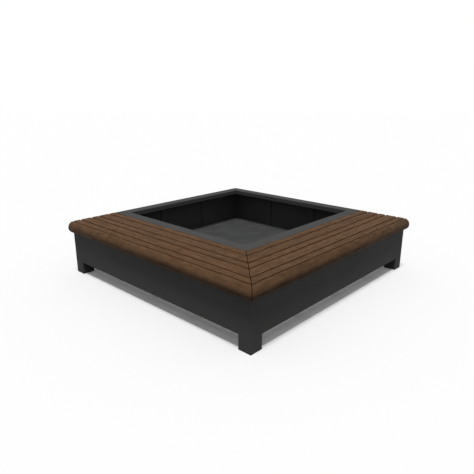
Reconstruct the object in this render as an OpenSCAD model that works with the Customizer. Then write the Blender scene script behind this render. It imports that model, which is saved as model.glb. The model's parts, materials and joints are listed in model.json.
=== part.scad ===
// Square steel planter with timber seating along two sides.
// The steel box stands on four short feet and holds an open planting basin.
// The seat boards run along the front and right sides and are mitred at the corner between them.
// Sizes are millimetres, +Z is up, and the origin is on the ground under the middle of the bench.

/* [Planter] */
// Length of each side of the steel box
side = 2000; // [1800:10:2400]
// Height of the rim and of the seat above the ground
height = 450; // [420:1:520]
// Thickness of the folded steel sheet
sheet_t = 3; // [2:0.5:5]
// Inner radius of the folds in the sheet
bend_r = 2; // [1:0.5:4]
// Width of the flat rim along the rear and left sides
rim_w = 100; // [70:1:130]
// Depth of the lip folded down from that rim
lip_h = 40; // [20:1:50]
// Width of the flat steel strip between the boards and the basin
strip_w = 94; // [60:1:110]

/* [Feet] */
// Clear height under the steel box
leg_h = 104; // [80:1:140]
// Width of each square foot
leg_w = 100; // [70:1:130]
// Thickness of the plate that closes each foot
foot_plate_t = 5; // [3:0.5:8]
// How far the plate above each foot under the seat reaches past it
corner_plate_edge = 40; // [20:1:60]

/* [Seat boards] */
// Width of the narrow boards
narrow_w = 60; // [55:1:80]
// Width of the wide boards
wide_w = 92; // [85:1:115]
// Thickness of the flat boards
board_t = 45; // [35:1:55]
// Gap between one flat board and the next
board_gap = 10; // [3:0.5:12]
// Gap between the edge board and the first flat board
nose_gap = 8; // [3:0.5:12]
// Gap between the innermost board and the steel strip
strip_gap = 2; // [0.5:0.5:4]
// Radius of the long upper edges of the flat boards, and of the inner one of the edge board
edge_r = 6; // [2:0.5:10]
// Gap between the boards of the two sides at the mitred corner
mitre_gap = 4; // [2:0.5:8]

/* [Edge boards] */
// Thickness of the edge board, which stands outside the steel
nose_t = 45; // [40:1:50]
// Height of the edge board, whose outer face is a half round
nose_h = 100; // [90:1:130]

/* [Seat brackets] */
// Width of the flange that carries the boards
flange_w = 60; // [45:1:80]
// Width of the flange of the diagonal bracket in the corner
corner_flange_w = 120; // [100:1:160]
// Diameter of the hole that lightens each bracket
lightening_d = 180; // [100:1:200]

/* [Basin] */
// Width of the ribs on the rear and left walls
rib_w = 70; // [40:1:90]
// Depth of those ribs
rib_d = 12; // [10:1:50]
// Distance of the first rib's middle from the outer face at the corner between those walls
rib_first = 500; // [400:5:600]
// Distance from that rib to the next one
rib_pitch = 545; // [400:5:580]
// Width of the joists under the floor
joist_w = 40; // [30:1:60]
// Height of the joists under the floor
joist_h = 50; // [30:1:65]
// Distance by which the joists stop short of the outer faces
joist_setback = 170; // [120:1:250]
// Outer diameter of the drain spouts
drain_d = 42; // [30:1:60]
// Wall thickness of the drain spouts
drain_wall = 2.5; // [2:0.5:4]
// Length of the drain spouts under the floor
drain_drop = 30; // [20:1:45]
// Distance of the drains from the basin walls
drain_inset = 120; // [80:1:160]

/* [Screws] */
// Diameter of the screw shanks
screw_d = 6; // [5:0.5:8]
// Diameter of the screw heads
head_d = 14; // [12:0.5:18]
// Height of the screw heads
head_h = 4; // [3:0.5:6]
// Depth of the screws in the wood
screw_depth = 30; // [20:1:32]
// Clearance all round the shanks
screw_clearance = 0.3; // [0.2:0.1:0.6]

/* [Hidden] */
$fn = 64;
steel_colour = "#3a3b3a";
wood_colour = "#7a5f49";
zinc_colour = "#8f9294";
cut = 1;

left_x = -(side + nose_t) / 2;
right_x = left_x + side;
front_y = -right_x;
rear_y = -left_x;

seat_z = height - board_t;
flange_z = height - sheet_t;
fold_z = flange_z - bend_r;
floor_z = leg_h + sheet_t;
bracket_h = seat_z - floor_z;
corner_plate_w = leg_w + corner_plate_edge - sheet_t;

board_widths = [narrow_w, wide_w, narrow_w, wide_w, narrow_w];
board_count = len(board_widths);
function board_start(k) = k == 1 ? nose_gap : board_start(k - 1) + board_widths[k - 2] + board_gap;
function board_middle(k) = front_y + board_start(k) + board_widths[k - 1] / 2;
seat_d = board_start(board_count) + board_widths[board_count - 1] + strip_gap;
basin_d = seat_d + strip_w;
basin_x = right_x - basin_d;
basin_y = front_y + basin_d;
strip_x = right_x - seat_d;
strip_y = front_y + seat_d;

bracket_count = 4;
bracket_first = left_x + sheet_t;
bracket_last = basin_x + sheet_t - flange_w;
bracket_pitch = (bracket_last - bracket_first) / (bracket_count - 1);
function bracket_x(i) = bracket_first + (i - 1) * bracket_pitch;
function bracket_screw_x(i) = bracket_x(i) + flange_w / 2;
corner_screw_in = corner_flange_w / 4 * sqrt(2) + mitre_gap;
nose_screw_z = (height - nose_h + seat_z) / 2;

basin_w = side - basin_d - sheet_t;
rib_count = 2;
function rib_x(i) = left_x + rib_first + (i - 1) * rib_pitch;

joist_count = 4;
joist_pitch = basin_w / (joist_count + 1);
function joist_y(i) = basin_y + i * joist_pitch;

drain_x = basin_x - drain_inset;
drain_y = basin_y + drain_inset;
drain_places = [
    [left_x + sheet_t + drain_inset, drain_y],
    [left_x + sheet_t + basin_w / 2, drain_y],
    [drain_x, drain_y],
    [drain_x, (joist_y(2) + joist_y(3)) / 2],
    [drain_x, rear_y - sheet_t - drain_inset],
];

// Turns a piece of the front side into its twin on the right side, and one of the rear side into its
// twin on the left side, because the bench is symmetric about its diagonal.
module twin() {
    mirror([1, 1, 0]) children();
}

// Runs a section drawn in Y and Z along X, from one place to another.
module along_x(from, to) {
    translate([from, 0, 0]) rotate([90, 0, 90]) linear_extrude(to - from) children();
}

// The plan of a sheet whose two ends are mitred, from its outer face to its inner face.
module mitred_plan(outer_y, inner_y) {
    polygon([[left_x, outer_y], [right_x, outer_y], [right_x - sheet_t, inner_y], [left_x + sheet_t, inner_y]]);
}

// Everything on the right and rear side of the diagonal, down to half a gap before it.
module diagonal_block(gap) {
    reach = 2 * side;
    rotate([0, 0, 45]) translate([-gap / 2, -reach, -cut]) cube([reach, 2 * reach, height + 2 * cut]);
}

// Mitres a piece of the front side at the diagonal.
module before_diagonal(gap) {
    difference() {
        children();
        diagonal_block(gap);
    }
}

// Mitres a piece of the rear side at the diagonal.
module after_diagonal() {
    difference() {
        children();
        twin() diagonal_block(0);
    }
}

// The section of a sheet folded once: a leg down at its start and a flange to the right along its top.
module folded_once(width, leg) {
    outer_r = bend_r + sheet_t;
    difference() {
        union() {
            translate([0, -leg]) square([width, leg - outer_r]);
            translate([outer_r, -leg]) square([width - outer_r, leg]);
            translate([outer_r, -outer_r]) circle(r = outer_r);
        }
        translate([sheet_t, -leg - cut]) square([width, leg - outer_r + cut]);
        translate([outer_r, -leg - cut]) square([width, leg - sheet_t + cut]);
        translate([outer_r, -outer_r]) circle(r = bend_r);
    }
}

// The section of a sheet folded twice: a leg down at each end and a flange between them.
module folded_twice(width, first_leg, second_leg) {
    folded_once(width / 2, first_leg);
    translate([width, 0]) mirror([1, 0]) folded_once(width / 2, second_leg);
}

// The square floor of the basin, which also carries the two inner walls, with a hole for each drain.
module floor_plate() {
    size = basin_w + sheet_t;
    color(steel_colour) difference() {
        translate([left_x + sheet_t, rear_y - sheet_t - size, leg_h]) cube([size, size, sheet_t]);
        for (place = drain_places) {
            translate([place[0], place[1], leg_h - cut]) cylinder(d = drain_d, h = sheet_t + 2 * cut);
        }
    }
}

// The plate inside the panels that stiffens a corner under the seat and rests on the foot there.
module corner_plate(x, y) {
    color(steel_colour) translate([x, y, leg_h]) cube([corner_plate_w, corner_plate_w, sheet_t]);
}

// The outer sheet under the seat, with the holes for the screws of the edge board.
module front_panel() {
    color(steel_colour) difference() {
        translate([0, 0, leg_h]) linear_extrude(seat_z - leg_h) {
            mitred_plan(front_y, front_y + sheet_t);
        }
        for (x = edge_screw_places()) {
            translate([x, front_y + sheet_t + cut, nose_screw_z]) rotate([90, 0, 0]) {
                cylinder(d = screw_d + 2 * screw_clearance, h = sheet_t + 2 * cut);
            }
        }
    }
}

// The rear sheet with its rim folded inwards. A lip is folded down along the basin, and beside the
// seat the rim ends square against the flat strip. Under the boards the sheet is lower.
module rear_panel() {
    rim_y = rear_y - rim_w;
    color(steel_colour) union() {
        translate([0, 0, leg_h]) linear_extrude(seat_z - leg_h) mitred_plan(rear_y, rear_y - sheet_t);
        after_diagonal() along_x(left_x, basin_x) {
            translate([rim_y, height]) folded_twice(rim_w, lip_h, board_t);
        }
        along_x(basin_x, strip_x) {
            translate([rear_y, height]) mirror([1, 0]) folded_once(rim_w, board_t);
        }
    }
}

// The wall between the basin and the seat, with the flat strip beside the boards folded outwards
// and folded down again onto the brackets. Under the left rim only its two upright legs go on.
module front_inner_wall() {
    color(steel_colour) before_diagonal(0) union() {
        translate([left_x + sheet_t, basin_y - sheet_t, floor_z]) {
            cube([side, sheet_t, seat_z - floor_z]);
            cube([rim_w - sheet_t, sheet_t, fold_z - floor_z]);
        }
        translate([left_x + sheet_t, strip_y, seat_z]) cube([rim_w - sheet_t, sheet_t, fold_z - seat_z]);
        along_x(left_x + rim_w, strip_x) {
            translate([strip_y, height]) folded_twice(strip_w, board_t, board_t);
        }
    }
}

// A short length of square tube under one corner, flush with the panels above it.
module foot(x, y) {
    color(steel_colour) translate([x, y, 0]) difference() {
        cube([leg_w, leg_w, leg_h]);
        translate([sheet_t, sheet_t, -cut]) cube([leg_w - 2 * sheet_t, leg_w - 2 * sheet_t, leg_h + 2 * cut]);
    }
}

// The plate inside the lower end of a foot, flush with the ground.
module foot_plate(x, y) {
    inner = leg_w - 2 * sheet_t;
    color(steel_colour) translate([x + sheet_t, y + sheet_t, 0]) cube([inner, inner, foot_plate_t]);
}

// A rectangular tube under the basin floor, which stops short of the outer faces.
module floor_joist(i) {
    from = left_x + joist_setback;
    to = basin_x + sheet_t;
    color(steel_colour) difference() {
        translate([from, joist_y(i) - joist_w / 2, leg_h - joist_h]) cube([to - from, joist_w, joist_h]);
        translate([from - cut, joist_y(i) - joist_w / 2 + sheet_t, leg_h - joist_h + sheet_t]) {
            cube([to - from + 2 * cut, joist_w - 2 * sheet_t, joist_h - 2 * sheet_t]);
        }
    }
}

// A folded channel on the rear wall, open to the wall, from the floor to just under the rim.
module rear_rib(i) {
    web_y = rear_y - sheet_t - rib_d;
    color(steel_colour) translate([rib_x(i) - rib_w / 2, web_y, floor_z]) linear_extrude(fold_z - floor_z) {
        mirror([0, 1]) folded_twice(rib_w, rib_d, rib_d);
    }
}

// A folded plate across the seat, from the outer panel to the inner wall, whose flange carries the boards.
module front_bracket(i) {
    span = basin_d - 2 * sheet_t;
    color(steel_colour) difference() {
        translate([bracket_x(i), basin_y - sheet_t, seat_z]) rotate([90, 0, 0]) linear_extrude(span) {
            folded_once(flange_w, bracket_h);
        }
        translate([bracket_x(i) - cut, front_y + basin_d / 2, floor_z + bracket_h / 2]) rotate([0, 90, 0]) {
            cylinder(d = lightening_d, h = sheet_t + 2 * cut);
        }
        for (k = [1:board_count]) {
            translate([bracket_screw_x(i), board_middle(k), seat_z - sheet_t]) screw_hole();
        }
    }
}

// The bracket along the diagonal, with a flange to each side for the mitred ends of the boards.
module corner_bracket() {
    span = basin_d - 2 * sheet_t;
    reach = basin_d * sqrt(2);
    color(steel_colour) difference() {
        intersection() {
            translate([basin_x + sheet_t, front_y + sheet_t, floor_z]) cube([span, span, bracket_h]);
            translate([right_x, front_y, floor_z]) rotate([0, 0, 135]) union() {
                translate([0, -sheet_t / 2, 0]) cube([reach, sheet_t, bracket_h]);
                translate([0, -corner_flange_w / 2, bracket_h - sheet_t]) cube([reach, corner_flange_w, sheet_t]);
            }
        }
        translate([right_x - basin_d / 2, front_y + basin_d / 2, floor_z + bracket_h / 2]) rotate([0, 90, 45]) {
            cylinder(d = lightening_d, h = sheet_t + 2 * cut, center = true);
        }
        for (k = [1:board_count]) {
            translate([corner_screw_x(k), board_middle(k), seat_z - sheet_t]) screw_hole();
            twin() translate([corner_screw_x(k), board_middle(k), seat_z - sheet_t]) screw_hole();
        }
    }
}

// The short tubes that carry the water down through the floor.
module drain_spouts() {
    color(zinc_colour) for (place = drain_places) {
        translate([place[0], place[1], leg_h - drain_drop]) difference() {
            cylinder(d = drain_d, h = drain_drop + sheet_t);
            translate([0, 0, -cut]) cylinder(d = drain_d - 2 * drain_wall, h = drain_drop + sheet_t + 2 * cut);
        }
    }
}

// The section of a flat board, with its two long upper edges rounded.
module board_section(width) {
    square([width, board_t - edge_r]);
    translate([edge_r, 0]) square([width - 2 * edge_r, board_t]);
    translate([edge_r, board_t - edge_r]) circle(r = edge_r);
    translate([width - edge_r, board_t - edge_r]) circle(r = edge_r);
}

// One flat board of the front side, counted from the outside.
module front_board(k) {
    start = board_start(k);
    color(wood_colour) difference() {
        before_diagonal(mitre_gap) along_x(left_x, right_x - start) {
            translate([front_y + start, seat_z]) board_section(board_widths[k - 1]);
        }
        for (x = board_screw_places(k)) {
            translate([x, board_middle(k), seat_z]) pilot_hole();
        }
    }
}

// The section of the edge board. Its outer face is a half round as high as the board, and its inner
// upper edge is rounded like those of the flat boards.
module edge_board_section() {
    difference() {
        intersection() {
            translate([nose_h / 2, nose_h / 2]) circle(d = nose_h);
            translate([-cut, -cut]) square([nose_t + cut, nose_h + 2 * cut]);
        }
        translate([nose_t - edge_r, nose_h - edge_r]) difference() {
            square(edge_r + cut);
            circle(r = edge_r);
        }
    }
}

// The edge board of the front side, which stands on edge against the outer panel.
module front_edge_board() {
    color(wood_colour) difference() {
        before_diagonal(mitre_gap) along_x(left_x, right_x + nose_t) {
            translate([front_y - nose_t, height - nose_h]) edge_board_section();
        }
        for (x = edge_screw_places()) {
            translate([x, front_y, nose_screw_z]) rotate([90, 0, 0]) pilot_hole();
        }
    }
}

function corner_screw_x(k) = -board_middle(k) - corner_screw_in;
function board_screw_places(k) =
    concat([for (i = [1:bracket_count]) bracket_screw_x(i)], [corner_screw_x(k)]);
function edge_screw_places() =
    concat([for (i = [1:bracket_count]) bracket_screw_x(i)], [right_x - basin_d / 2, right_x - leg_w / 2]);

// A hole through a sheet, from its lower face.
module screw_hole() {
    translate([0, 0, -cut]) cylinder(d = screw_d + 2 * screw_clearance, h = sheet_t + 2 * cut);
}

// A blind hole in the wood, from its face.
module pilot_hole() {
    deep = screw_depth + screw_clearance;
    translate([0, 0, -cut]) cylinder(d = screw_d + 2 * screw_clearance, h = deep + cut);
}

// A screw whose head bears on the sheet and whose shank passes through it into the wood.
module screw() {
    translate([0, 0, -head_h]) cylinder(d = head_d, h = head_h);
    cylinder(d = screw_d, h = sheet_t + screw_depth);
}

// The screws that hold the flat boards of the front side from below.
module front_board_screws() {
    color(zinc_colour) for (k = [1:board_count]) {
        for (x = board_screw_places(k)) {
            translate([x, board_middle(k), seat_z - sheet_t]) screw();
        }
    }
}

// The screws that hold the edge board of the front side from inside the panel.
module front_edge_screws() {
    color(zinc_colour) for (x = edge_screw_places()) {
        translate([x, front_y + sheet_t, nose_screw_z]) rotate([90, 0, 0]) screw();
    }
}

floor_plate();
front_panel();
twin() front_panel();  // right_panel
rear_panel();
twin() rear_panel();  // left_panel
front_inner_wall();
twin() front_inner_wall();  // right_inner_wall
foot(left_x, front_y);  // foot_front_left
foot(right_x - leg_w, front_y);  // foot_front_right
foot(right_x - leg_w, rear_y - leg_w);  // foot_rear_right
foot(left_x, rear_y - leg_w);  // foot_rear_left
foot_plate(left_x, front_y);  // foot_plate_front_left
foot_plate(right_x - leg_w, front_y);  // foot_plate_front_right
foot_plate(right_x - leg_w, rear_y - leg_w);  // foot_plate_rear_right
foot_plate(left_x, rear_y - leg_w);  // foot_plate_rear_left
union() {  // corner_plate_front_left
    corner_plate(left_x + sheet_t, front_y + sheet_t);
}
union() {  // corner_plate_front_right
    corner_plate(right_x - sheet_t - corner_plate_w, front_y + sheet_t);
}
union() {  // corner_plate_rear_right
    corner_plate(right_x - sheet_t - corner_plate_w, rear_y - sheet_t - corner_plate_w);
}
for (i = [1:joist_count]) {
    floor_joist(i);
}
for (i = [1:rib_count]) {
    rear_rib(i);
    twin() rear_rib(i);
}
for (i = [1:bracket_count]) {
    front_bracket(i);
    twin() front_bracket(i);
}
corner_bracket();
drain_spouts();
front_edge_board();
twin() front_edge_board();  // right_edge_board
for (k = [1:board_count]) {
    front_board(k);
    twin() front_board(k);
}
front_board_screws();
twin() front_board_screws();  // right_board_screws
front_edge_screws();
twin() front_edge_screws();  // right_edge_screws
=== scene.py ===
"""Looks of the planter bench: coated steel, oiled timber, zinc fittings, a pale studio and the camera."""

import json
import math
import random

import bmesh
import bpy
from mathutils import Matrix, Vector


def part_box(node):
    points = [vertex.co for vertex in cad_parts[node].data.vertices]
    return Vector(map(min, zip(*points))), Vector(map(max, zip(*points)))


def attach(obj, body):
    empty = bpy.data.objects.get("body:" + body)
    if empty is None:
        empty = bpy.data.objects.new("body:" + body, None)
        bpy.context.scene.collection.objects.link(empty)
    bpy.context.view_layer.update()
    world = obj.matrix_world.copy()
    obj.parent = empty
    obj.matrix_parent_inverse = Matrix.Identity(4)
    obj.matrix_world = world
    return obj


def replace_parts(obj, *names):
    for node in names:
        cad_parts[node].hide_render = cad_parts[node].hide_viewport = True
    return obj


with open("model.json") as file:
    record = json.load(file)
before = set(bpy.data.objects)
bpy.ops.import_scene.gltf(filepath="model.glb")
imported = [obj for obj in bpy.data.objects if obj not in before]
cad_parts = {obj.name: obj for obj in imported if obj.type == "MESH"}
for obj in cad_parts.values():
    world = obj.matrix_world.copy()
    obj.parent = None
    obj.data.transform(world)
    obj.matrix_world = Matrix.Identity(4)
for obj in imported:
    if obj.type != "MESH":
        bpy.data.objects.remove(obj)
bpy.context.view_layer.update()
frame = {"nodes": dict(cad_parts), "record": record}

# Lengths are in metres and colours are linear. A noise is given by its features in a metre, its detail and
# its roughness. A fade is given by the span of a value and by the share at either end of that span.

SEED = 36999
STEEL, TIMBER, ZINC = "coated_steel", "timber", "zinc"
PANELS = ["front_panel", "right_panel"]
FEET = ["foot_front_left", "foot_front_right", "foot_rear_right", "foot_rear_left"]
JOISTS = ["floor_joist_1", "floor_joist_2", "floor_joist_3", "floor_joist_4"]
RIBS = ["rear_rib_1", "rear_rib_2"]
BRACKETS = ["front_bracket_1", "front_bracket_2", "front_bracket_3", "front_bracket_4"]
DOWN, UP = Vector((0, 0, -1)), Vector((0, 0, 1))

# Camera, fitted to the corners of the bench in the photograph.
CAMERA_AT = Vector((2.5361, -2.76646, 1.45275))
CAMERA_LOOKS_AT = Vector((-0.29931, 0.27229, 0.1806))
LENS_MM, SENSOR_MM = 34.931, 36.0

# The span in which nearly all values of a noise lie, and the middle of a noise's colours.
NOISE_SPAN, NOISE_MIDDLE = (0.3, 0.7), (0.5, 0.5, 0.5)
EDGE_SAMPLES = 6

# Powder coating, in its darker and lighter blotches, and its gloss as a specular level. The rim's copy has
# the coating's own colour. The panels and feet get a copy that is a little darker and glossier, and the
# basin's floor gets one that is darker still. Both darker copies are painted shade.
RIM_LOW, RIM_HIGH, RIM_GLOSS = (0.067, 0.0684, 0.0666, 1), (0.0742, 0.0756, 0.0738, 1), 0.02
PANEL_SHADED_LOW, PANEL_SHADED_HIGH, PANEL_GLOSS = (0.0642, 0.0649, 0.0637, 1), (0.0706, 0.0713, 0.0701, 1), 0.18
BASIN_FLOOR_SHADED_LOW, BASIN_FLOOR_SHADED_HIGH, FLOOR_GLOSS = (0.051, 0.0542, 0.0523, 1), (0.0565, 0.0597, 0.0578, 1), 0.02
BLOTCHES, BLOTCH_ROUGHNESS = (2.6, 4.0, 0.55), (0.78, 0.86)
ORANGE_PEEL, PEEL_BUMP = (520.0, 2.0, 0.45), (0.35, 0.0002)
SPECKS, SPECK_FADE, SPECK_COLOUR = (90.0, 3.0, 0.6), (0.62, 0.75, 0.0, 0.25), (0.095, 0.097, 0.095, 1)

# Dust lies in patches on what faces up, and rain splashes it onto what is low. It adds to the roughness.
# Its pale colour is also painted light: on what faces up, and low down, where light comes up from the floor.
DUST_PATCHES, DUST_SPAN, DUST_AND_LIGHT_COLOUR = (7.0, 6.0, 0.65), (0.35, 0.75), (0.17, 0.165, 0.155, 1)
DUST_AND_LIGHT_FACING_UP, DUST_AND_LIGHT_BY_HEIGHT = (0.6, 1.0, 0.0, 0.06), (0.11, 0.30, 0.18, 0.0)
DUST_ROUGHNESS = 0.8

# Wear of the coating: the width of an edge, the cosines of the normal's turn there from full edge to flat,
# and the shares of wear between which the specks choose.
STEEL_EDGE, STEEL_EDGE_TURN = 0.0018, (0.90, 0.995)
STEEL_WEAR, STEEL_WORN = (0.15, 0.6), (0.11, 0.112, 0.11, 1)

# Oiled timber in its lightest and darkest parts, and what the shade and the warmth of a board vary by.
WOOD_LIGHT, WOOD_DARK, WOOD_GLOSS = (0.151, 0.0822, 0.0425), (0.063, 0.0325, 0.0156), 0.07
BOARD_SHADES, BOARD_WARMTHS = (0.91, 1.09), (0.98, 1.02)
# The two edge boards are painted darker than the rest as shade, the right one most, since less light falls on
# its side.
PAINTED_EDGE_SHADE = {"front_edge_board": 0.98, "right_edge_board": 0.90}

# Where a board lies in its log: along it, beside its pith and above its pith.
LOG_PLACES, PITH_ASIDE, PITH_BELOW = (-20, 20), (-0.09, 0.09), (0.03, 0.14)
# Growth rings. These scales of the wave set them 5 to 7 mm apart.
RING_SCALES, RING_DISTORTION, RING_DETAIL, RING_DETAIL_SCALE = (42, 60), 2.2, 2.0, 0.6
# The grain drifts aside by up to half of this on its way along the board.
DRIFT, DRIFT_PER_M, DRIFT_DETAIL = (0.0, 0.05, 0.05), (0.7, 5.0, 5.0), 2.0

# Noises of the wood. Their features in a metre are along the board, across it and through it.
FIGURE = ((12.0, 34.0, 34.0), 3.0, 0.6)
STREAKS = ((0.9, 70.0, 70.0), 2.0, 0.5)
FIBRES = ((3.0, 330.0, 330.0), 3.0, 0.6)
CLOUDS, CLOUD_SHARE, CLOUD_COLOUR = ((0.8, 5.0, 5.0), 2.0, 0.5), 0.25, (0.115, 0.062, 0.033, 1)
PORES, PORE_SPAN = ((28.0, 1300.0, 1300.0), 1.0, 0.5), (0.60, 0.72)
PORE_SHARE, PORE_COLOUR = 0.45, (0.030, 0.017, 0.010, 1)
# Their shares of the tone between dark and light wood.
RING_SHARE, FIGURE_SHARE, STREAK_SHARE, FIBRE_SHARE = 0.1, 0.5, 0.15, 0.25
# Heights of the rings and depths of the pores against the fibres, and the bump that these make.
RING_HEIGHT, PORE_DEPTH, WOOD_BUMP = 0.25, 0.9, (0.5, 0.0004)
WOOD_ROUGHNESS = (0.2, 0.8, 0.84, 0.74)

# Sawn ends drink more oil.
END_FADE, END_COLOUR = (0.5, 0.75, 0.0, 0.55), (0.050, 0.028, 0.016, 1)
# The sides of the flat boards, in the gaps, are painted darker as the shade in the gaps.
GAP_SHADE, GAP_SHADE_SPAN, GAP_SHADE_SHARE = (0.068, 0.023, 0.006, 1), (0.35, 0.9), 0.55
# The edge boards are painted darker and greyer where they face down, as the shade under their rounded fronts.
UNDERSIDE_SHADE, UNDERSIDE_SHADE_SPAN, UNDERSIDE_SHADE_SHARE = (0.043, 0.041, 0.040, 1), (-0.5, 0.6), 0.32
# Wear along the edges of the boards, where the fibres choose.
WOOD_EDGE, WOOD_EDGE_TURN = 0.003, (0.88, 0.995)
WOOD_WEAR, WOOD_WORN = (0.35, 0.65, 0.0, 0.15), (0.17, 0.105, 0.062, 1)

# Zinc plating: its spangle, and the duller clouds in it.
SPANGLE, SPANGLE_BUMP = (180.0, 2.0, 0.5), (0.2, 0.0001)
ZINC_DARK, ZINC_LIGHT, ZINC_DULL = (0.50, 0.51, 0.52, 1), (0.66, 0.66, 0.65, 1), (0.38, 0.37, 0.34, 1)
DULLING, DULL_FADE, ZINC_ROUGHNESS = (30.0, 3.0, 0.6), (0.45, 0.8, 0.0, 0.35), (0.32, 0.48)

# Rounding of the cut ends of the boards. Only edges sharper than this angle are rounded.
END_ROUNDING, END_STEPS, END_ANGLE = 0.0015, 2, math.radians(40)
FLAT_ANGLE = math.radians(1)  # faces that turn less than this are one
SHARP_ANGLE = math.radians(38)  # edges of new pieces that turn more than this stay sharp
SAME_PLACE = 1e-6  # points closer than this are one

# Screw: radii of the head and the shank, height of the head, and length and radius of the tip.
HEAD_R, SHANK_R, HEAD_H = 0.007, 0.003, 0.004
TIP_LENGTH, TIP_R = 3 * SHANK_R, 0.1 * SHANK_R
SCREW_STEPS = 24
# The pan head's profile, as shares of its height and radius.
HEAD_PROFILE = ((0.05, 0.64), (0.18, 0.82), (0.4, 0.94), (0.68, 1.0), (1.0, 1.0))
# The drive recess: its radius and depth, the reach and number of its lobes, the flat land around it, the
# depth of its broken edge, and the radius and reach of the lobes at its floor.
RECESS_R, RECESS_DEPTH, RECESS_LOBE, LOBES = 0.0023, 0.0024, 0.00045, 6
RECESS_LAND, RECESS_BREAK = 1.4 * RECESS_R, 0.0001
FLOOR_OF_RECESS, FLOOR_OF_LOBE = 0.85 * RECESS_R, 0.8 * RECESS_LOBE

# Welds: size of the fillets, length of a ripple and of a stitch, and the clear length between stitches.
BEAD_LEG, RIPPLE, STITCH, STITCH_GAP = 0.0035, 0.005, 0.04, 0.16
SUNK = 0.0003  # how far a bead reaches into the sheets that it joins
SHEET = 0.003  # thickness of the folded steel
# A bead's size as a share of the leg: its mean, its ripples, its unevenness, and where it starts and stops.
BEAD_MEAN, BEAD_RIPPLES, BEAD_UNEVEN, BEAD_START = 0.95, 0.07, 0.04, 0.35
RINGS_PER_RIPPLE, FEWEST_STEPS = 3, 4
# A bead's crown lies at these shares of its size from the two faces that it joins.
CROWN_FAR, CROWN_NEAR = 0.72, 0.42
# The round beads at the drain spouts.
ROUND_STEPS, ROUND_UNEVEN, ROUND_CROWN = 48, 0.05, 0.6

# Studio. Floor and sky are white where they are seen, and send less light onto the bench. A share of what
# is seen of the floor is its own glow, which fills the shadow as the photograph's white ground does.
FLOOR_RADIUS, FLOOR_STEPS = 60.0, 96
CAMERA_REACH = 4 * FLOOR_RADIUS
FLOOR_SHOWN, FLOOR_BOUNCE, FLOOR_GLOW = (1.0, 1.0, 1.0, 1), (0.15, 0.15, 0.15, 1), 0.10
SKY_COLOUR, SKY_SHOWN, SKY_LIGHT = (1.0, 1.0, 1.0, 1), 1.0, 0.26
KEY_FROM, KEY_STRENGTH, KEY_ANGLE = Vector((0.165, -0.205, 1.0)), 2.385, math.radians(13)


# ---- node helpers

def new_material(name):
    """A material with an empty tree. Returns (material, tree)."""
    material = bpy.data.materials.new(name)
    material.use_nodes = True
    material.node_tree.nodes.clear()
    return material, material.node_tree


def add(tree, kind, inputs=None, **properties):
    """A node of that kind, with its properties set, and its inputs set to values or linked to sockets."""
    node = tree.nodes.new("ShaderNode" + kind)
    for key, value in properties.items():
        setattr(node, key, value)
    for key, value in (inputs or {}).items():
        if isinstance(value, bpy.types.NodeSocket):
            tree.links.new(value, node.inputs[key])
        else:
            node.inputs[key].default_value = value
    return node


def set_surface(tree, shader, output="OutputMaterial"):
    """Makes that shader what the tree shows."""
    tree.links.new(shader.outputs[0], add(tree, output).inputs["Surface"])


def maths(tree, operation, *values):
    """A sum, product or other function of one to three values."""
    return add(tree, "Math", dict(enumerate(values)), operation=operation).outputs[0]


def vector_maths(tree, operation, a, b):
    """A vector made from two vectors."""
    return add(tree, "VectorMath", {0: a, 1: b}, operation=operation).outputs[0]


def ranged(tree, value, low, high, to_low=0.0, to_high=1.0):
    """value, from the range low to high onto the range to_low to to_high, eased and clamped."""
    inputs = {"Value": value, "From Min": low, "From Max": high, "To Min": to_low, "To Max": to_high}
    return add(tree, "MapRange", inputs, interpolation_type="SMOOTHSTEP").outputs["Result"]


def mixed(tree, share, a, b):
    """Colours a and b mixed, b by its share."""
    factor, first, second, result = 0, 6, 7, 2  # sockets of a Mix node that are for colours
    return add(tree, "Mix", {factor: share, first: a, second: b}, data_type="RGBA").outputs[result]


def noise(tree, vector, per_m, detail, roughness):
    """A noise with that many features in a metre."""
    inputs = {"Vector": vector, "Scale": per_m, "Detail": detail, "Roughness": roughness}
    return add(tree, "TexNoise", inputs).outputs["Fac"]


def stretched(tree, vector, scale):
    """vector with each axis times its scale."""
    return add(tree, "Mapping", {"Vector": vector, "Scale": scale}).outputs["Vector"]


def grain(tree, vector, per_m, detail, roughness):
    """A noise with its own number of features in a metre for each axis."""
    return noise(tree, stretched(tree, vector, per_m), 1.0, detail, roughness)


def bump(tree, height, strength, distance):
    """The normal of a surface with that height."""
    inputs = {"Height": height, "Strength": strength, "Distance": distance}
    return add(tree, "Bump", inputs).outputs["Normal"]


def edge_mask(tree, radius, turn):
    """1 on the sharp outer edges, to that distance in metres, and 0 on the flats."""
    rounded = add(tree, "Bevel", {"Radius": radius}, samples=EDGE_SAMPLES).outputs["Normal"]
    flat = add(tree, "NewGeometry").outputs["Normal"]
    agree = add(tree, "VectorMath", {0: rounded, 1: flat}, operation="DOT_PRODUCT").outputs["Value"]
    return ranged(tree, agree, *turn, 1.0, 0.0)


# ---- materials

def dust_and_light_share(tree, place):
    """How much dust lies on the steel. The same share also paints light on its tops and on its low parts."""
    up = add(tree, "SeparateXYZ", {0: add(tree, "TexCoord").outputs["Normal"]}).outputs["Z"]
    height = add(tree, "SeparateXYZ", {0: place}).outputs["Z"]
    dust_and_light_mask = maths(tree, "MAXIMUM", ranged(tree, up, *DUST_AND_LIGHT_FACING_UP), ranged(tree, height, *DUST_AND_LIGHT_BY_HEIGHT))
    return maths(tree, "MULTIPLY", dust_and_light_mask, ranged(tree, noise(tree, place, *DUST_PATCHES), *DUST_SPAN))


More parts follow.
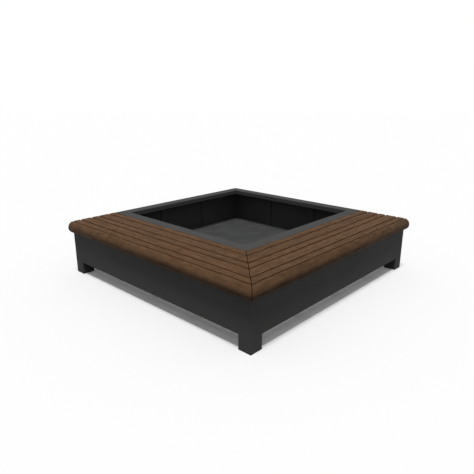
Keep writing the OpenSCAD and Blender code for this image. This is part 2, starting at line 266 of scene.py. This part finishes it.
def coated_steel(name, low, high, gloss):
    """Dark grey powder coating: fine orange peel, faint blotches, specks, dust that also paints light, and
    polished edges.
    """
    material, tree = new_material(name)
    place = add(tree, "TexCoord").outputs["Object"]
    blotches = noise(tree, place, *BLOTCHES)
    peel = noise(tree, place, *ORANGE_PEEL)
    specks = noise(tree, place, *SPECKS)
    # Dust, and painted light on the tops and the low parts.
    dust = dust_and_light_share(tree, place)
    edges = edge_mask(tree, STEEL_EDGE, STEEL_EDGE_TURN)
    worn = maths(tree, "MULTIPLY", edges, ranged(tree, specks, *NOISE_SPAN, *STEEL_WEAR))

    colour = mixed(tree, ranged(tree, blotches, *NOISE_SPAN), low, high)
    colour = mixed(tree, ranged(tree, specks, *SPECK_FADE), colour, SPECK_COLOUR)
    colour = mixed(tree, dust, colour, DUST_AND_LIGHT_COLOUR)
    colour = mixed(tree, worn, colour, STEEL_WORN)
    roughness = maths(tree, "ADD", ranged(tree, blotches, *NOISE_SPAN, *BLOTCH_ROUGHNESS),
                      maths(tree, "MULTIPLY", dust, DUST_ROUGHNESS))
    set_surface(tree, add(tree, "BsdfPrincipled", {
        "Base Color": colour, "Roughness": roughness, "Normal": bump(tree, peel, *PEEL_BUMP),
        "Specular IOR Level": gloss}))
    return material


def place_in_log(tree, middle, turn, draw):
    """The place in a board's log, with X along the board and the pith where Y and Z are 0."""
    pith_aside, pith_below = draw.uniform(*PITH_ASIDE), draw.uniform(*PITH_BELOW)
    from_middle = vector_maths(tree, "SUBTRACT", add(tree, "TexCoord").outputs["Object"], middle)
    return add(tree, "Mapping", {
        "Vector": from_middle, "Rotation": (0, 0, turn),
        "Location": (draw.uniform(*LOG_PLACES), pith_aside, pith_below)}).outputs[0]


def drifting(tree, along):
    """The place in the log, moved aside as the grain wanders."""
    drift = add(tree, "TexNoise", {"Vector": stretched(tree, along, DRIFT_PER_M), "Scale": 1.0,
                                   "Detail": DRIFT_DETAIL}).outputs["Color"]
    drift = vector_maths(tree, "SUBTRACT", drift, NOISE_MIDDLE)
    return vector_maths(tree, "ADD", along, vector_maths(tree, "MULTIPLY", drift, DRIFT))


def growth_rings(tree, vector, draw):
    """The rings round the pith."""
    inputs = {"Vector": vector, "Scale": draw.uniform(*RING_SCALES), "Distortion": RING_DISTORTION,
              "Detail": RING_DETAIL, "Detail Scale": RING_DETAIL_SCALE}
    return add(tree, "TexWave", inputs, wave_type="RINGS", rings_direction="X",
               wave_profile="SAW").outputs["Fac"]


def facing_of_board(tree, turn):
    """How far a face looks along the board, to its side (both without sign) and up."""
    normal = add(tree, "TexCoord").outputs["Normal"]
    turned = add(tree, "VectorRotate", {"Vector": normal, "Angle": turn}, rotation_type="Z_AXIS").outputs[0]
    parts = add(tree, "SeparateXYZ", {0: turned}).outputs
    return maths(tree, "ABSOLUTE", parts["X"]), maths(tree, "ABSOLUTE", parts["Y"]), parts["Z"]


def wood_colour(colour, shade, warmth):
    """That colour for a board of that shade and warmth."""
    red, green, blue = colour
    return red * shade * warmth, green * shade, blue * shade / warmth, 1


def oiled_timber(name, along_y, middle, painted_edge_shade, gap_shade, underside_shade, draw):
    """Brown oiled hardwood. Its grain runs along the board, with growth rings round a pith beside it."""
    material, tree = new_material(name)
    turn = -math.pi / 2 if along_y else 0.0
    along = place_in_log(tree, middle, turn, draw)
    wandering = drifting(tree, along)
    rings = growth_rings(tree, wandering, draw)
    fibres = grain(tree, along, *FIBRES)
    streaks = grain(tree, wandering, *STREAKS)
    figure = grain(tree, wandering, *FIGURE)
    clouds = grain(tree, along, *CLOUDS)
    pores = ranged(tree, grain(tree, along, *PORES), *PORE_SPAN)
    end, side, up = facing_of_board(tree, turn)
    edges = edge_mask(tree, WOOD_EDGE, WOOD_EDGE_TURN)
    worn = maths(tree, "MULTIPLY", edges, ranged(tree, fibres, *WOOD_WEAR))

    # For the edge boards this factor is painted shade.
    shade = painted_edge_shade * draw.uniform(*BOARD_SHADES)
    warmth = draw.uniform(*BOARD_WARMTHS)
    tone = maths(tree, "MULTIPLY", rings, RING_SHARE)
    for part, share in ((figure, FIGURE_SHARE), (streaks, STREAK_SHARE), (fibres, FIBRE_SHARE)):
        tone = maths(tree, "MULTIPLY_ADD", ranged(tree, part, *NOISE_SPAN), share, tone)
    dark, light = wood_colour(WOOD_DARK, shade, warmth), wood_colour(WOOD_LIGHT, shade, warmth)
    colour = mixed(tree, tone, dark, light)
    colour = mixed(tree, ranged(tree, clouds, *NOISE_SPAN, 0.0, CLOUD_SHARE), colour, CLOUD_COLOUR)
    colour = mixed(tree, maths(tree, "MULTIPLY", pores, PORE_SHARE), colour, PORE_COLOUR)
    colour = mixed(tree, ranged(tree, end, *END_FADE), colour, END_COLOUR)
    # Painted shade on the sides of the boards in the gaps.
    colour = mixed(tree, ranged(tree, side, *GAP_SHADE_SPAN, 0.0, gap_shade), colour, GAP_SHADE)
    # Painted shade where the edge boards face down.
    colour = mixed(tree, ranged(tree, up, *UNDERSIDE_SHADE_SPAN, underside_shade, 0.0), colour, UNDERSIDE_SHADE)
    colour = mixed(tree, worn, colour, WOOD_WORN)

    raised = maths(tree, "ADD", fibres, maths(tree, "MULTIPLY", rings, RING_HEIGHT))
    height = maths(tree, "SUBTRACT", raised, maths(tree, "MULTIPLY", pores, PORE_DEPTH))
    set_surface(tree, add(tree, "BsdfPrincipled", {
        "Base Color": colour, "Roughness": ranged(tree, tone, *WOOD_ROUGHNESS),
        "Normal": bump(tree, height, *WOOD_BUMP), "Specular IOR Level": WOOD_GLOSS}))
    return material


def zinc_plating():
    """Zinc plating with a faint spangle."""
    material, tree = new_material("zinc_plating")
    place = add(tree, "TexCoord").outputs["Object"]
    spangle = noise(tree, place, *SPANGLE)
    dulling = noise(tree, place, *DULLING)
    colour = mixed(tree, ranged(tree, spangle, *NOISE_SPAN), ZINC_DARK, ZINC_LIGHT)
    colour = mixed(tree, ranged(tree, dulling, *DULL_FADE), colour, ZINC_DULL)
    set_surface(tree, add(tree, "BsdfPrincipled", {
        "Base Color": colour, "Metallic": 1.0, "Normal": bump(tree, spangle, *SPANGLE_BUMP),
        "Roughness": ranged(tree, dulling, *NOISE_SPAN, *ZINC_ROUGHNESS)}))
    return material


def show_with(node, material):
    """Gives a CAD node that material."""
    mesh = frame["nodes"][node].data
    mesh.materials.clear()
    mesh.materials.append(material)


def ease_ends(node):
    """Rounds the sawn ends of a board a little, as sanding does."""
    board = frame["nodes"][node]
    board.modifiers.new("weld", "WELD").merge_threshold = SAME_PLACE
    flats = board.modifiers.new("flats", "DECIMATE")
    flats.decimate_type, flats.angle_limit = "DISSOLVE", FLAT_ANGLE
    rounding = board.modifiers.new("rounding", "BEVEL")
    rounding.width, rounding.segments, rounding.angle_limit = END_ROUNDING, END_STEPS, END_ANGLE
    rounding.use_clamp_overlap = False


def dress_board(node, draw):
    """A board's own timber and eased ends. Edge boards get painted shade, darker and greyer where they face
    down, and the others get painted shade in the gaps.
    """
    on_edge = node in PAINTED_EDGE_SHADE
    low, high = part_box(node)
    gap_shade, underside_shade = (0.0, UNDERSIDE_SHADE_SHARE) if on_edge else (GAP_SHADE_SHARE, 0.0)
    painted_edge_shade = PAINTED_EDGE_SHADE[node] if on_edge else 1.0
    along_y = node.startswith("right")
    show_with(node, oiled_timber("oiled_" + node, along_y, (low + high) / 2, painted_edge_shade, gap_shade, underside_shade, draw))
    ease_ends(node)


def dress_nodes():
    """Every CAD node gets the material of its slot. Returns the materials that new pieces share."""
    draw = random.Random(SEED)
    rim = coated_steel("powder_coating", RIM_LOW, RIM_HIGH, RIM_GLOSS)
    # The panel and floor copies of the coating are darker as painted shade.
    panel = coated_steel("powder_coating_panel_shaded", PANEL_SHADED_LOW, PANEL_SHADED_HIGH, PANEL_GLOSS)
    floor = coated_steel("powder_coating_floor_shaded", BASIN_FLOOR_SHADED_LOW, BASIN_FLOOR_SHADED_HIGH, FLOOR_GLOSS)
    zinc = zinc_plating()
    steel = {node: panel for node in PANELS + FEET}
    steel["floor_plate"] = floor
    for part in frame["record"]["subparts"]:
        node, slot = part["node"], part["material_slot"]
        if slot == TIMBER:
            dress_board(node, draw)
        else:
            show_with(node, zinc if slot == ZINC else steel.get(node, rim))
    return rim, zinc


# ---- new pieces

def add_object(name, data):
    """An object in the scene."""
    thing = bpy.data.objects.new(name, data)
    bpy.context.scene.collection.objects.link(thing)
    return thing


def new_piece(name, shape, material):
    """A piece of the bench from a bmesh."""
    bmesh.ops.recalc_face_normals(shape, faces=shape.faces)
    mesh = bpy.data.meshes.new(name)
    shape.to_mesh(mesh)
    shape.free()
    mesh.shade_smooth()
    mesh.set_sharp_from_angle(angle=SHARP_ANGLE)
    mesh.materials.append(material)
    piece = add_object(name, mesh)
    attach(piece, "root")
    return piece


def join(shape, ring, after):
    """Faces between two closed rings of as many points each."""
    for i in range(len(ring)):
        shape.faces.new((ring[i - 1], ring[i], after[i], after[i - 1]))


def add_skin(shape, rings):
    """Joins rings of as many points each, and closes the first and last."""
    rings = [[shape.verts.new(point) for point in ring] for ring in rings]
    for ring, after in zip(rings, rings[1:]):
        join(shape, ring, after)
    shape.faces.new(rings[0])
    shape.faces.new(rings[-1])


def corners_of(points):
    """Lowest and highest corner of the box round these points."""
    return [Vector([pick(point[axis] for point in points) for axis in range(3)]) for pick in (min, max)]


def solids_of(node):
    """Lowest and highest corner of each separate solid of a CAD node."""
    copy = bmesh.new()
    copy.from_mesh(frame["nodes"][node].data)
    bmesh.ops.remove_doubles(copy, verts=copy.verts, dist=SAME_PLACE)
    left, boxes = set(copy.verts), []
    for vert in list(copy.verts):
        if vert not in left:
            continue
        left.discard(vert)
        stack, found = [vert], []
        while stack:
            here = stack.pop()
            found.append(here.co.copy())
            for edge in here.link_edges:
                other = edge.other_vert(here)
                if other in left:
                    left.discard(other)
                    stack.append(other)
        boxes.append(corners_of(found))
    copy.free()
    return boxes


# ---- screws

def add_screw(shape, head_end, tip, turn):
    """A pan head screw with a six-lobed recess, between the middle of its head's outer face and its tip."""
    along = (tip - head_end).normalized()
    aside = along.orthogonal().normalized()
    across = along.cross(aside)
    length = (tip - head_end).length

    def ring(depth, radius, lobe=0.0):
        points = []
        for i in range(SCREW_STEPS):
            angle = turn + 2 * math.pi * i / SCREW_STEPS
            out = aside * math.cos(angle) + across * math.sin(angle)
            reach = radius + lobe * math.cos(LOBES * (angle - turn))
            points.append(head_end + along * depth + out * reach)
        return points

    recess = [ring(RECESS_DEPTH, FLOOR_OF_RECESS, FLOOR_OF_LOBE), ring(RECESS_BREAK, RECESS_R, RECESS_LOBE)]
    head = [ring(0.0, RECESS_LAND), *(ring(HEAD_H * depth, HEAD_R * width) for depth, width in HEAD_PROFILE)]
    shank = [ring(HEAD_H, SHANK_R), ring(length - TIP_LENGTH, SHANK_R), ring(length, TIP_R)]
    add_skin(shape, recess + head + shank)


def screws(node, towards, zinc, draw):
    """The screws that stand for a CAD node, with their tips that way."""
    shape = bmesh.new()
    for low, high in solids_of(node):
        middle, half = (low + high) / 2, (high - low) / 2
        reach = Vector([part * size for part, size in zip(towards, half)])
        add_screw(shape, middle - reach, middle + reach, draw.uniform(0, math.pi))
    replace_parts(new_piece(node.replace("_screws", "_pan_screws"), shape, zinc), node)


# ---- welds

def twin(vector):
    """The place or direction across the diagonal, about which the bench is symmetric."""
    return Vector((-vector.y, -vector.x, vector.z))


def add_bead(shape, start, end, side_a, side_b, draw):
    """A fillet weld from start to end, in the corner between the faces along side_a and side_b."""
    run = end - start
    steps = max(FEWEST_STEPS, round(run.length / RIPPLE * RINGS_PER_RIPPLE))
    rings = []
    for i in range(steps + 1):
        from_end = min(i, steps - i) / steps * run.length
        grown = BEAD_START + (1 - BEAD_START) * math.sqrt(from_end / BEAD_LEG)
        ripple = BEAD_RIPPLES * math.sin(2 * math.pi * i / RINGS_PER_RIPPLE)
        size = BEAD_LEG * min(1.0, grown) * (BEAD_MEAN + ripple + draw.uniform(-BEAD_UNEVEN, BEAD_UNEVEN))
        here = start + run * (i / steps)
        rings.append([here - (side_a + side_b) * SUNK,
                      here + side_a * size - side_b * SUNK,
                      here + side_a * size * CROWN_FAR + side_b * size * CROWN_NEAR,
                      here + side_a * size * CROWN_NEAR + side_b * size * CROWN_FAR,
                      here + side_b * size - side_a * SUNK])
    add_skin(shape, rings)


def add_stitches(shape, start, end, side_a, side_b, draw):
    """Short beads, evenly spaced from start to end."""
    run = end - start
    count = max(2, round((run.length + STITCH_GAP) / (STITCH + STITCH_GAP)))
    pitch = (run.length - STITCH) / (count - 1)
    ahead = run.normalized()
    for i in range(count):
        stitch_start, stitch_end = start + ahead * pitch * i, start + ahead * (pitch * i + STITCH)
        add_bead(shape, stitch_start, stitch_end, side_a, side_b, draw)


def add_twin_stitches(shape, ends, sides, draw):
    """Stitches between two ends, and the same ones across the diagonal."""
    add_stitches(shape, *ends, *sides, draw)
    add_stitches(shape, *map(twin, ends), *map(twin, sides), draw)


def add_round_bead(shape, middle, radius, draw):
    """A bead round a tube of that radius, which comes out of a face at middle and points down."""
    inner, lower, slope, outer = [], [], [], []
    for i in range(ROUND_STEPS):
        angle = 2 * math.pi * i / ROUND_STEPS
        out = Vector((math.cos(angle), math.sin(angle), 0))
        size = BEAD_LEG * (BEAD_MEAN + draw.uniform(-ROUND_UNEVEN, ROUND_UNEVEN))
        inner.append(middle + out * (radius - SUNK) - DOWN * SUNK)
        lower.append(middle + out * (radius - SUNK) + DOWN * size)
        slope.append(middle + out * (radius + size * ROUND_CROWN) + DOWN * size * ROUND_CROWN)
        outer.append(middle + out * (radius + size) - DOWN * SUNK)
    loops = [[shape.verts.new(point) for point in loop] for loop in (inner, lower, slope, outer)]
    for loop, after in zip(loops, loops[1:] + loops[:1]):
        join(shape, loop, after)


def welds_of_feet(steel, draw):
    """Beads between each foot and the plate over it, on its two inner sides."""
    shape = bmesh.new()
    for foot in FEET:
        low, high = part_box(foot)
        outer_x, x, in_x = (low.x, high.x, 1) if low.x < 0 else (high.x, low.x, -1)
        outer_y, y, in_y = (low.y, high.y, 1) if low.y < 0 else (high.y, low.y, -1)
        corner = Vector((x, y, high.z))
        add_bead(shape, Vector((x, outer_y + in_y * SHEET, high.z)), corner, DOWN, Vector((in_x, 0, 0)), draw)
        add_bead(shape, Vector((outer_x + in_x * SHEET, y, high.z)), corner, DOWN, Vector((0, in_y, 0)), draw)
    new_piece("welds_of_feet", shape, steel)


def welds_under_floor(steel, draw):
    """Stitches along the joists and a bead round each drain spout, all on the floor's lower face."""
    shape = bmesh.new()
    for joist in JOISTS:
        low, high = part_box(joist)
        for y, out in ((low.y, -1), (high.y, 1)):
            start, end = Vector((low.x, y, high.z)), Vector((high.x - SHEET, y, high.z))
            add_stitches(shape, start, end, DOWN, Vector((0, out, 0)), draw)
    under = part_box("floor_plate")[0].z
    for low, high in solids_of("drain_spouts"):
        middle = (low + high) / 2
        middle.z = under
        add_round_bead(shape, middle, (high.x - low.x) / 2, draw)
    new_piece("welds_under_floor", shape, steel)


def welds_of_basin(steel, draw):
    """Beads round the basin's floor and up its corners, and stitches along its ribs."""
    shape = bmesh.new()
    to_right, to_front = Vector((1, 0, 0)), Vector((0, -1, 0))
    low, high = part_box("floor_plate")
    left, right, rear = low.x, high.x - SHEET, high.y
    front = -right
    floor, under_rim = (corner.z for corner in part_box(RIBS[0]))
    corners = [Vector((left, front, floor)), Vector((right, front, floor)),
               Vector((right, rear, floor)), Vector((left, rear, floor))]
    # At each corner, the way off the wall that goes on from it and the way off the wall before it.
    ways = [(-to_front, to_right), (-to_right, -to_front), (to_front, -to_right), (to_right, to_front)]
    for i, (off_next, off_last) in enumerate(ways):
        add_bead(shape, corners[i], corners[(i + 1) % len(corners)], UP, off_next, draw)
        add_bead(shape, corners[i], corners[i] + UP * (under_rim - floor), off_next, off_last, draw)
    for rib in RIBS:
        low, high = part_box(rib)
        for x, out in ((low.x, -1), (high.x, 1)):
            ends = Vector((x, rear, floor)), Vector((x, rear, under_rim))
            add_twin_stitches(shape, ends, (to_front, Vector((out, 0, 0))), draw)
    new_piece("welds_of_basin", shape, steel)


def welds_of_brackets(steel, draw):
    """Stitches up both ends of each bracket's web, on both sides of it."""
    shape = bmesh.new()
    for bracket in BRACKETS:
        low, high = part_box(bracket)
        top = high.z - 2 * SHEET
        for y, ahead in ((low.y, 1), (high.y, -1)):
            for x, out in ((low.x, -1), (low.x + SHEET, 1)):
                if bracket == BRACKETS[0] and out < 0:
                    continue  # this side of its web lies against the left panel
                ends = Vector((x, y, low.z)), Vector((x, y, top))
                add_twin_stitches(shape, ends, (Vector((0, ahead, 0)), Vector((out, 0, 0))), draw)
    new_piece("welds_of_brackets", shape, steel)


# ---- studio and camera

def aim(thing, direction, axis):
    """Turns an object so that its own axis points that way."""
    thing.rotation_mode = "QUATERNION"
    thing.rotation_quaternion = direction.to_track_quat(axis, "Y")


def seen_directly(tree):
    """1 for what the camera sees, also in reflections and through glass, and 0 for light on other things."""
    path = add(tree, "LightPath").outputs
    return maths(tree, "MAXIMUM", path["Is Camera Ray"],
                 maths(tree, "MAXIMUM", path["Is Glossy Ray"], path["Is Transmission Ray"]))


def studio_floor():
    """A wide pale floor, white to the camera and to reflections, and duller in the light that it returns."""
    mesh = bpy.data.meshes.new("studio_floor")
    shape = bmesh.new()
    bmesh.ops.create_circle(shape, cap_ends=True, segments=FLOOR_STEPS, radius=FLOOR_RADIUS)
    shape.to_mesh(mesh)
    shape.free()
    floor = add_object("studio_floor", mesh)
    material, tree = new_material("studio_floor")
    seen = seen_directly(tree)
    lit = add(tree, "BsdfDiffuse", {"Color": mixed(tree, seen, FLOOR_BOUNCE, FLOOR_SHOWN)})
    glow = add(tree, "Emission", {"Color": FLOOR_SHOWN, "Strength": 1.0})
    glow_share = maths(tree, "MULTIPLY", seen, FLOOR_GLOW)
    set_surface(tree, add(tree, "MixShader", {0: glow_share, 1: lit.outputs[0], 2: glow.outputs[0]}))
    mesh.materials.append(material)


def studio_sky():
    """A dim sky that is white where it is seen."""
    world = bpy.data.worlds.new("studio")
    world.use_nodes = True
    tree = world.node_tree
    tree.nodes.clear()
    factor, first, second, result = 0, 2, 3, 0  # sockets of a Mix node that are for numbers
    strength = add(tree, "Mix", {factor: seen_directly(tree), first: SKY_LIGHT, second: SKY_SHOWN},
                   data_type="FLOAT").outputs[result]
    sky = add(tree, "Background", {"Color": SKY_COLOUR, "Strength": strength})
    set_surface(tree, sky, "OutputWorld")
    bpy.context.scene.world = world


def studio_key():
    """A soft key light from nearly overhead."""
    data = bpy.data.lights.new("key", "SUN")
    data.energy, data.angle = KEY_STRENGTH, KEY_ANGLE
    aim(add_object("key", data), KEY_FROM, "Z")


def camera():
    """The camera, at the photograph's place and angle."""
    data = bpy.data.cameras.new("camera")
    data.lens, data.sensor_width = LENS_MM, SENSOR_MM
    data.clip_end = CAMERA_REACH
    taker = add_object("camera", data)
    taker.location = CAMERA_AT
    aim(taker, CAMERA_LOOKS_AT - CAMERA_AT, "-Z")
    bpy.context.scene.camera = taker


rim_steel, zinc = dress_nodes()
draw = random.Random(SEED)
screws("front_board_screws", (0, 0, 1), zinc, draw)
screws("right_board_screws", (0, 0, 1), zinc, draw)
screws("front_edge_screws", (0, -1, 0), zinc, draw)
screws("right_edge_screws", (1, 0, 0), zinc, draw)
welds_of_feet(rim_steel, draw)
welds_under_floor(rim_steel, draw)
welds_of_basin(rim_steel, draw)
welds_of_brackets(rim_steel, draw)
studio_floor()
studio_sky()
studio_key()
camera()
bpy.context.scene.view_settings.view_transform = "Standard"
